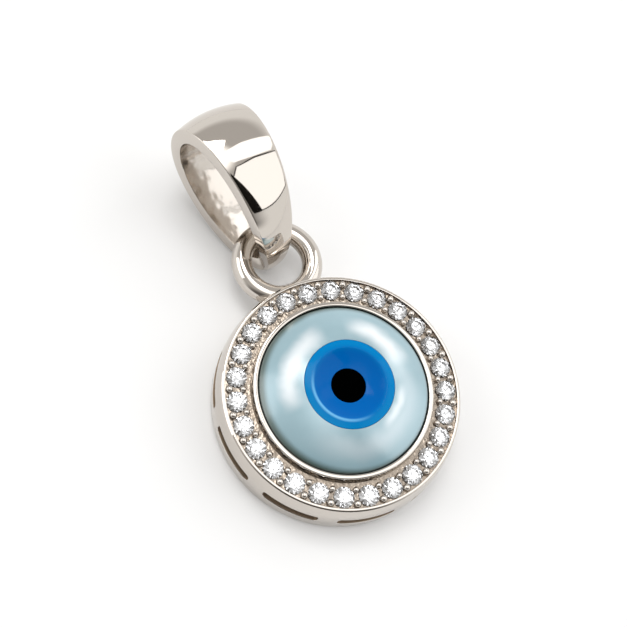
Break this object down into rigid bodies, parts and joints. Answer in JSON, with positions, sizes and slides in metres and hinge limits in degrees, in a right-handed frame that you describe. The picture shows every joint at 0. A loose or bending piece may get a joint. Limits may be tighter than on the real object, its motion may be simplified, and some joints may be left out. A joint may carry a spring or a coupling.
{
  "type": "evil eye pendant",
  "caption": "Round pendant with an inlaid eye dome, a halo of cut stones in a slotted metal setting, and a tapered bail on a fixed ring, lying face up.",
  "frame": {"origin": "middle of the setting's flat back", "axes": "+Z out of the face, +Y from the face to the bail, +X to the right of the face"},
  "size_m": [0.0146, 0.0255, 0.0078],
  "materials": {
    "polished_metal": "rhodium-plated silver, mirror polished",
    "mother_of_pearl": "polished shell with a soft pearly sheen",
    "iris_blue": "polished blue glass inlay",
    "pupil_black": "polished black glass inlay",
    "cut_stone": "faceted and polished, colourless"
  },
  "bodies": {
    "root": {"setting": "polished_metal", "bail": "polished_metal", "cabochon": "mother_of_pearl", "iris": "iris_blue", "pupil": "pupil_black", "stone_01": "cut_stone", "stone_02": "cut_stone", "stone_03": "cut_stone", "stone_04": "cut_stone", "stone_05": "cut_stone", "stone_06": "cut_stone", "stone_07": "cut_stone", "stone_08": "cut_stone", "stone_09": "cut_stone", "stone_10": "cut_stone", "stone_11": "cut_stone", "stone_12": "cut_stone", "stone_13": "cut_stone", "stone_14": "cut_stone", "stone_15": "cut_stone", "stone_16": "cut_stone", "stone_17": "cut_stone", "stone_18": "cut_stone", "stone_19": "cut_stone", "stone_20": "cut_stone", "stone_21": "cut_stone", "stone_22": "cut_stone", "stone_23": "cut_stone", "stone_24": "cut_stone", "stone_25": "cut_stone", "stone_26": "cut_stone", "stone_27": "cut_stone"}
  },
  "joints": []
}
